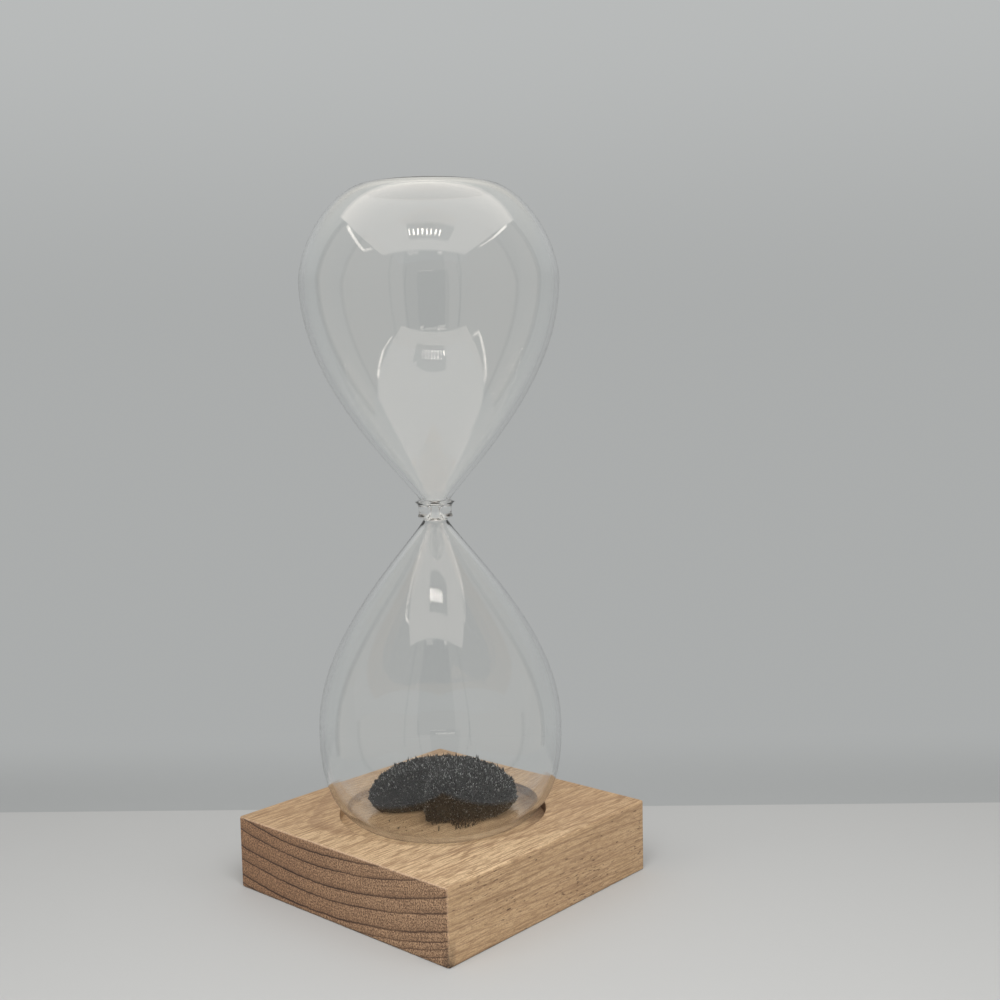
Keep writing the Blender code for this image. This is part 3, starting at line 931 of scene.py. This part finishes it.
def needle_mesh(roots, directions, lengths, widths, start=0):
    """Three-sided needles: three points at the root, three nearly as wide halfway up, and the tip.

    Their points are numbered on from start.
    """
    helper = np.where(np.abs(directions[:, 2:]) < 0.9, [[0.0, 0.0, 1.0]], [[1.0, 0.0, 0.0]])
    side = unit(np.cross(directions, helper))
    other = np.cross(directions, side)
    angles = np.arange(3)[:, None] * 2 * math.pi / 3
    ring = np.cos(angles) * side[:, None] + np.sin(angles) * other[:, None]
    spread = widths[:, None, None] * ring
    middle = roots + directions * lengths[:, None] * 0.5
    tip = roots + directions * lengths[:, None]
    low, high = roots[:, None] + spread, middle[:, None] + 0.72 * spread
    points = np.concatenate([low, high, tip[:, None]], axis=1)
    first = start + np.arange(len(roots))[:, None, None] * 7
    walls = first + np.array([(0, 1, 4, 3), (1, 2, 5, 4), (2, 0, 3, 5)])
    caps = first + np.array([(3, 4, 6), (4, 5, 6), (5, 3, 6), (2, 1, 0)])
    return points.reshape(-1, 3), walls.reshape(-1, 4).tolist() + caps.reshape(-1, 3).tolist()


def needle_shades(own):
    """Painted shade along a needle: dark at its root, about half of its own shade halfway up, and all of it
    at the tip.
    """
    return (own[:, None] * np.array(NEEDLE_SHADES)).ravel()


def needles_on(rings, count, random):
    """Roots spread evenly over the heap's top: cells picked by their area, then a place inside each cell."""
    ahead = np.roll(rings, -1, axis=1)
    corner, right = rings[:-1], ahead[:-1]
    up, across = rings[1:], ahead[1:]
    facing = np.cross(right - corner, up - corner)
    area = np.linalg.norm(facing, axis=-1)
    chosen = random.choice(area.size, count, p=(area / area.sum()).ravel())
    row, column = np.divmod(chosen, area.shape[1])
    aside, upward = random.rand(2, count, 1)
    low = blend(corner[row, column], right[row, column], aside)
    high = blend(up[row, column], across[row, column], aside)
    return blend(low, high, upward), unit(facing[row, column])


def room_to_lining(lining, roots, directions):
    """How far a needle can reach before it comes within 0.2 mm of the glass beside it, either way up."""
    walls = either_way_up(lining, SIDE_FROM_NECK)
    radius = np.min([np.interp(roots[:, 2], wall[:, 1], wall[:, 0]) for wall in walls], axis=0)
    from_axis = np.linalg.norm(roots[:, :2], axis=1)
    outward = np.sum(directions[:, :2] * roots[:, :2], axis=1) / np.maximum(from_axis, 0.1 * MM)
    return np.maximum(radius - from_axis - 0.2 * MM, 0.25 * MM) / np.maximum(outward, 0.15)


def standing_needles(rings, random, lining):
    """Short needles over the whole surface, darkened low down by painted shade, and a few broad spikes that
    stand on its top.
    """
    roots, facing = needles_on(rings, NEEDLE_COUNT + SPIKE_COUNT, random)
    clump = np.column_stack([value_noise(roots, 1.3 * MM, random) for _ in range(3)])
    wild = random.normal(size=roots.shape)
    spike = (np.arange(len(roots)) >= NEEDLE_COUNT) & (facing[:, 2] > 0.35)
    short_lean = 0.75 * facing + 0.35 * UP + 0.40 * clump + 0.22 * wild
    tall_lean = 0.25 * facing + UP + 0.12 * wild
    lean = unit(np.where(spike[:, None], tall_lean, short_lean))
    tufts = 0.5 + 0.5 * value_noise(roots, 1.1 * MM, random)
    lengths = MM * (NEEDLE_SHORTEST + NEEDLE_SPREAD * tufts**2 * random.rand(len(roots)))
    lengths = np.where(spike, MM * random.uniform(*SPIKE_LENGTHS, len(roots)), lengths)
    lengths = np.minimum(lengths, room_to_lining(lining, roots, lean))
    widths = MM * np.where(spike, SPIKE_WIDENING, 1.0) * random.uniform(*NEEDLE_HALF_WIDTHS, len(roots))
    # Painted shade on the needles low down on the heap
    lit = smooth_step(roots[:, 2], DIM_BELOW * MM, BRIGHT_ABOVE * MM)
    brightness = blend(LOW_BRIGHTNESS, 1.0, lit) * np.where(spike, SPIKE_BRIGHTNESS, 1.0)
    own = brightness * random.rand(len(roots)) ** 7.5
    return roots, lean, lengths, widths, own


def build_powder(lining, material):
    """The heap, and the needles in which the magnet makes its powder stand.

    They stand out from the surface, lean together in clumps and are longest in the middle of each clump.
    """
    random = np.random.RandomState(RANDOM_SEED)
    rings, foot, crown = heap_rings(lining, random)
    points, faces = skin(rings, foot, crown)
    roots, lean, lengths, widths, own = standing_needles(rings[UNDER_STEPS:], random, lining)
    root = NEEDLE_ROOT * MM
    needles, needle_faces = needle_mesh(roots - root * lean, lean, lengths + root, widths, len(points))
    # The heap's skin is painted black, as the shade between the needles
    looks = {"shade": np.concatenate([np.zeros(len(points)), needle_shades(own)])}
    points = np.concatenate([points, needles])
    heap = mesh_object("iron_powder_heap", points, faces + needle_faces, material, looks, smooth=False)
    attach(heap, "powder")
    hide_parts("iron_powder")


def build_strays(lining, material):
    """Thin needles that stand on the glass floor along the heap's front, and single grains in the bite."""
    random = np.random.RandomState(RANDOM_SEED + 1)
    floor = powder_floor(lining)
    tufts = np.repeat(np.array(FRINGE_TUFTS, float), [tuft[2] for tuft in FRINGE_TUFTS], axis=0)
    turn = np.radians(random.uniform(tufts[:, 0], tufts[:, 1]))
    out = np.column_stack([np.cos(turn), np.sin(turn), np.zeros(len(turn))])
    reach = MM * random.uniform(tufts[:, 3], tufts[:, 4])
    fringe = out * reach[:, None]
    fringe[:, 2] = np.interp(reach, floor[:, 0], floor[:, 1]) + 0.12 * MM
    standing_out = unit(0.30 * out + UP + 0.18 * random.normal(size=fringe.shape))
    lengths = MM * tufts[:, 5] * random.uniform(0.45, 1.0, len(turn))

    grains = np.array(GRAIN_SPOTS) * MM
    grain_floor = np.interp(np.linalg.norm(grains[:, :2], axis=1), floor[:, 0], floor[:, 1])
    grain_roots = np.column_stack([grains[:, :2], grain_floor + 0.14 * MM])
    standing = unit(0.8 * UP + 0.5 * random.normal(size=grain_roots.shape) * (1, 1, 0.2))
    grain_lengths = grains[:, 2]

    roots = np.concatenate([fringe, grain_roots])
    directions = np.concatenate([standing_out, standing])
    lengths = np.concatenate([lengths, grain_lengths])
    widths = np.concatenate([MM * random.uniform(0.05, 0.10, len(turn)), 0.26 * grain_lengths])
    points, faces = needle_mesh(roots, directions, lengths, widths)
    shade = needle_shades(0.2 + 0.5 * random.rand(len(roots)))
    strays = mesh_object("stray_needles", points, faces, material, {"shade": shade}, smooth=False)
    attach(strays, "powder")


def build_table():
    """A pale table top. Past its edge, behind the block, it takes the grey of the wall."""
    material, tree, shader = new_material("table_top", {"Roughness": 0.75})
    place = tree.nodes.new("ShaderNodeTexCoord").outputs["Object"]
    sockets = {0: place, 1: (*TABLE_EDGE_FACING, 0.0)}
    along = node(tree, "ShaderNodeVectorMath", sockets, operation="DOT_PRODUCT").outputs["Value"]
    beyond = ramp(along, TABLE_EDGE_DISTANCE, TABLE_EDGE_DISTANCE + 0.4 * MM)
    far = ramp(along, TABLE_EDGE_DISTANCE, TABLE_EDGE_DISTANCE + 60 * MM)
    fill(shader, {"Base Color": tint(beyond, TABLE_WHITE, WALL_GREY)})
    plain = node(tree, "ShaderNodeEmission", {"Color": (*WALL_GREY, 1.0), "Strength": 1.0}).outputs[0]
    show_mixed(times(looked_at(light_path(tree)), far), shader.outputs[0], plain)
    points = TABLE_REACH * np.array([(-1, -1, 0), (1, -1, 0), (1, 1, 0), (-1, 1, 0)])
    table = mesh_object("table_top", points, [(0, 1, 2, 3)], material, smooth=False)


def card_corners(low, high):
    """The four corners of a flat card from two opposite ones: one of the three sides is always zero."""
    span = np.subtract(high, low)
    across, upward = np.diag(span)[span != 0]
    return np.array([low, low + across, high, low + upward])


def build_cards():
    """Lit cards and a row of small lamps that only clear reflections in the glass show."""
    (near, far), up = LAMP_ROW["back"], LAMP_ROW["up"]
    starts = LAMP_ROW["first"] + LAMP_ROW["pitch"] * np.arange(LAMP_ROW["count"])
    lamps = [((near, start, up), (far, start + LAMP_ROW["width"], up), LAMP_GLOW) for start in starts]
    cards = [*CARDS, *lamps]
    corners = [card_corners(low, high) for low, high, _ in cards]
    for start, end, tall, _ in STROKES:
        corners.append(np.array([start, end, end, start]) + np.outer((0, 0, 1, 1), (0, 0, tall)))
    ahead, aside = TABLE_EDGE_FACING
    points = np.concatenate(corners) * MM @ np.array([(ahead, aside, 0), (aside, -ahead, 0), (0, 0, 1)])
    glow = np.repeat([piece[-1] for piece in (*cards, *STROKES)], 4)
    faces = np.arange(len(points)).reshape(-1, 4).tolist()
    material, tree, shader = new_material("lit_cards")
    tree.nodes.remove(shader)
    sockets = {"Color": (*CARD_COLOUR, 1.0), "Strength": attribute(tree, "glow")}
    lit = node(tree, "ShaderNodeEmission", sockets).outputs[0]
    clear = tree.nodes.new("ShaderNodeBsdfTransparent").outputs[0]
    show_mixed(in_glass(light_path(tree)), clear, lit)
    thing = mesh_object("lit_cards", points, faces, material, {"glow": glow}, smooth=False)
    thing.visible_camera = thing.visible_diffuse = thing.visible_shadow = False


def light_room():
    """Even daylight from all round, whose look in the camera and in reflections is the plain grey wall.

    The wall is a little brighter higher up and warmer above that, and in the glass meets a bright ceiling.
    """
    world = bpy.data.worlds.new("pale_room")
    bpy.context.scene.world = world
    world.use_nodes = True
    tree = world.node_tree
    path = light_path(tree)
    direction = tree.nodes.new("ShaderNodeTexCoord").outputs["Generated"]
    height = node(tree, "ShaderNodeSeparateXYZ", {0: direction}).outputs["Z"]
    light = tree.nodes["Background"]
    fill(light, {"Color": (1.0, 1.0, 1.0, 1.0), "Strength": DAYLIGHT})
    ceiling = times(ramp(height, *CEILING_RISES, 0.0, CEILING_GLOW), in_glass(path))
    colour = tint(ramp(height, *WALL_WARMS), WALL_GREY, HIGH_WALL)
    strength = maths("ADD", ceiling, ramp(height, *WALL_BRIGHTENS, 1.0, WALL_GAIN))
    look = node(tree, "ShaderNodeBackground", {0: colour, 1: strength}).outputs[0]
    show_mixed(looked_at(path), light.outputs[0], look, "World Output")


def add_aimed(thing, place, right, upward, back):
    """Adds a lamp or camera. Its X, Y and Z run to the right, upward and back from what it looks at."""
    bpy.context.scene.collection.objects.link(thing)
    turn = Matrix(np.column_stack([right, upward, back]).tolist()).to_4x4()
    turn.translation = place
    thing.matrix_world = turn


def add_softboxes():
    """Soft area lamps aimed at the object, which light it but aren't seen."""
    for name, place, target, size, power in SOFTBOXES:
        lamp = bpy.data.lights.new(name, "AREA")
        lamp.shape = "RECTANGLE"
        lamp.size, lamp.size_y = size
        lamp.energy = power
        thing = bpy.data.objects.new(name, lamp)
        thing.visible_camera = thing.visible_glossy = thing.visible_transmission = False
        away = unit(np.subtract(place, target))
        side = unit(np.cross(UP, away))
        add_aimed(thing, place, side, np.cross(away, side), away)


def add_camera():
    """Looks along the solved yaw and pitch, turned about that line by the roll."""
    level = np.array([math.cos(CAMERA_YAW), -math.sin(CAMERA_YAW), 0.0])
    forward = np.array([math.sin(CAMERA_YAW), math.cos(CAMERA_YAW), 0.0])
    ahead = math.cos(CAMERA_PITCH) * forward - math.sin(CAMERA_PITCH) * UP
    upward = np.cross(level, ahead)
    right = math.cos(CAMERA_ROLL) * level + math.sin(CAMERA_ROLL) * upward
    top = math.cos(CAMERA_ROLL) * upward - math.sin(CAMERA_ROLL) * level
    lens = bpy.data.cameras.new("photo_camera")
    lens.lens = CAMERA_LENS
    lens.sensor_width = SENSOR_WIDTH
    lens.shift_x = CAMERA_SHIFT
    lens.clip_start = 0.01
    camera = bpy.data.objects.new("photo_camera", lens)
    add_aimed(camera, CAMERA_PLACE, right, top, -ahead)
    bpy.context.scene.camera = camera


def main():
    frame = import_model()
    speckle = grain_speckle_group()
    lining = build_glass(glass_material())
    build_block(beech_material())
    build_powder(lining, powder_material("iron_powder", speckle, *IRON))
    build_strays(lining, powder_material("stray_iron", speckle, *STRAY_IRON))
    dull = {"Roughness": 0.45, "Metallic": 0.3}
    ferrite = pressed_material("ferrite", speckle, *FERRITE, 0.12, 0.02 * MM, dull)
    soft = {"Roughness": 0.95, "Sheen Weight": 0.4}
    felt = pressed_material("felt", speckle, *FELT, 0.35, 0.15 * MM, soft)
    frame["nodes"]["disc_magnet"].material_slots[0].material = ferrite
    frame["nodes"]["felt_cover_disc"].material_slots[0].material = felt
    build_table()
    build_cards()
    light_room()
    add_softboxes()
    add_camera()
    bpy.context.scene.view_settings.view_transform = "Standard"


main()
